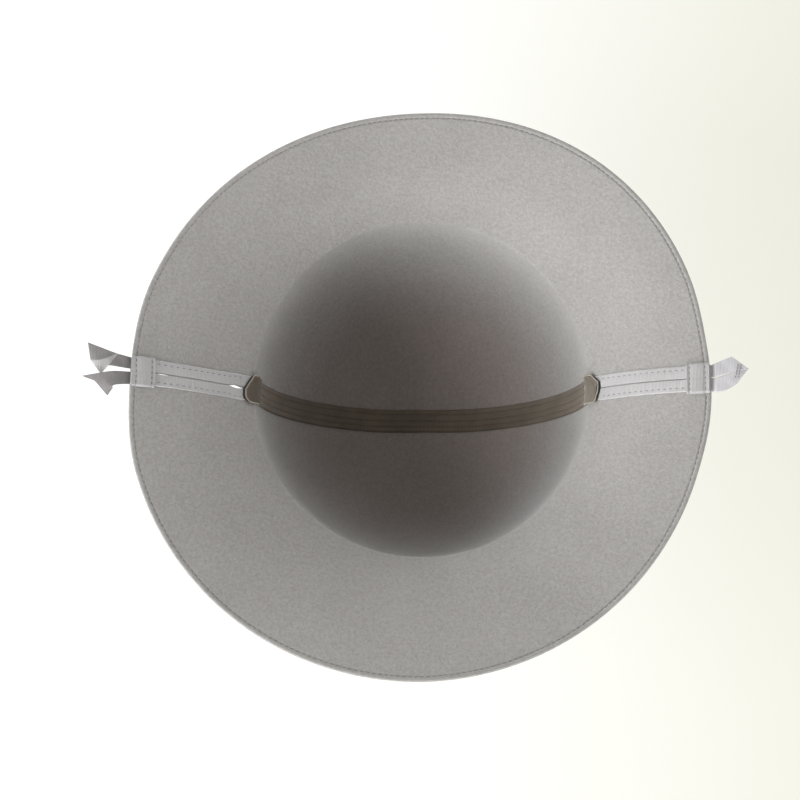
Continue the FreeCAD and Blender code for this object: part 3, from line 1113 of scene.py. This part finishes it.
felt_half("front_felt_half", -1)
felt_half("back_felt_half", 1)
for half_name, half in (("front", -1), ("back", 1)):
    edge_stitching(half_name + "_edge_stitching", half)
    brim_wire(half_name + "_brim_wire", half)
crown_seam_stitching()
for side_name, side in (("left", -1), ("right", 1)):
    for half_name, half in (("front", -1), ("back", 1)):
        name = side_name + "_" + half_name + "_binding"
        binding(name, side, half)
        binding_stitching(name + "_stitching", side, half)
    keeper(side_name + "_keeper", side)
    keeper_stitching(side_name + "_keeper_stitching", side)
crown_seam_tape()
tape_stitching()
tape_patch("left_tape_patch", -1)
tape_patch("right_tape_patch", 1)
back_tie()
front_tie()
loop_tab()
bar_tack()


# ---------------------------------------------------------------- stage, light and camera

WALL_LIGHT = 2.75
BRIGHT_WALL_LIGHT = 7.0
BRIGHT_AZIMUTH = math.radians(57)
CEILING_LIGHT = 0.1          # share of the walls' light
FLOOR_REACH = 12.0
FLOOR_GAP = 0.0005           # below the hat
CAMERA_DISTANCE = 1.0
CAMERA_ELEVATION = 79.0
CAMERA_SHIFT = (-0.0275, -0.015)
PICTURE_PER_METRE = 2.285    # share of the picture's width taken by a metre at the head opening


def floor_material():
    """White paper that glows enough to look white, its glow fading to cream towards the loop tab's side as
    painted falloff of the light.
    """
    material, shading, shader = new_material("pale_floor")
    # painted light: the floor's glow falls off towards the loop tab's side, white to cream
    fall = shading.remap(shading.part(shading.place, "X"), -0.1, 0.25)
    painted_falloff = shading.ramp(fall, [(0.0, (1.0, 1.0, 1.0)), (1.0, (0.77, 0.77, 0.66))])
    speck = shading.ramp(shading.noise(40, 3), [(0.3, 0.995), (0.7, 1.0)])
    shading.feed(shader, {
        "Emission Color": shading.product(painted_falloff, speck),
        "Base Color": (0.25, 0.25, 0.24, 1.0),
        "Emission Strength": 0.86,
        "Roughness": 0.9,
        "Specular IOR Level": 0.0,
    })
    return material


def pale_floor():
    verts = [(x * FLOOR_REACH, y * FLOOR_REACH, 0) for x, y in ((-1, -1), (1, -1), (1, 1), (-1, 1))]
    floor = new_piece("floor", verts, [(0, 1, 2, 3)], floor_material(), smooth_faces=False)
    floor.location.z = -FLOOR_GAP


def area_light(name, place, target, size, power, colour):
    data = bpy.data.lights.new(name, "AREA")
    data.shape = "DISK"
    data.size = size
    data.energy = power
    data.color = colour
    lamp = bpy.data.objects.new(name, data)
    lamp.location = place
    aim = Vector(target) - Vector(place)
    lamp.rotation_euler = aim.to_track_quat("-Z", "Y").to_euler()
    bpy.context.scene.collection.objects.link(lamp)


def sky():
    """Pale studio walls as light, brightest in front on the ties' side, under a dim ceiling."""
    world = bpy.data.worlds.new("studio")
    bpy.context.scene.world = world
    shading = Shading(world, "Generated")
    upwards = shading.part(shading.place, "Z")
    height = shading.remap(upwards, 0.2, 0.6, 1.0, CEILING_LIGHT, "SMOOTHSTEP")
    bright = (-math.cos(BRIGHT_AZIMUTH), -math.sin(BRIGHT_AZIMUTH), 0)
    towards = shading.add("VectorMath", {0: shading.place, 1: bright}, operation="DOT_PRODUCT")
    wall = shading.remap(towards.outputs["Value"], 0.7, 1.0, WALL_LIGHT, BRIGHT_WALL_LIGHT, "SMOOTHSTEP")
    shading.feed(shading.nodes["Background"], {
        "Strength": shading.math("MULTIPLY", height, wall),
        "Color": (1.0, 1.0, 1.0, 1.0),
    })


def camera():
    """Over the hat, a little to the front."""
    data = bpy.data.cameras.new("camera")
    data.lens = CAMERA_DISTANCE * PICTURE_PER_METRE * data.sensor_width
    data.shift_x, data.shift_y = CAMERA_SHIFT
    cam = bpy.data.objects.new("camera", data)
    tilt = math.radians(CAMERA_ELEVATION)
    target = Vector((0, 0, OPENING * MM))
    back = Vector((0, -math.cos(tilt), math.sin(tilt)))
    cam.location = target + back * CAMERA_DISTANCE
    cam.rotation_euler = (-back).to_track_quat("-Z", "Y").to_euler()
    bpy.context.scene.collection.objects.link(cam)
    bpy.context.scene.camera = cam


pale_floor()
sky()
area_light("window", (-1.3, -0.55, 0.9), (0.03, 0.0, 0.1), 1.1, 18, (0.96, 0.98, 1.0))
camera()
scene = bpy.context.scene
scene.view_settings.view_transform = "Standard"
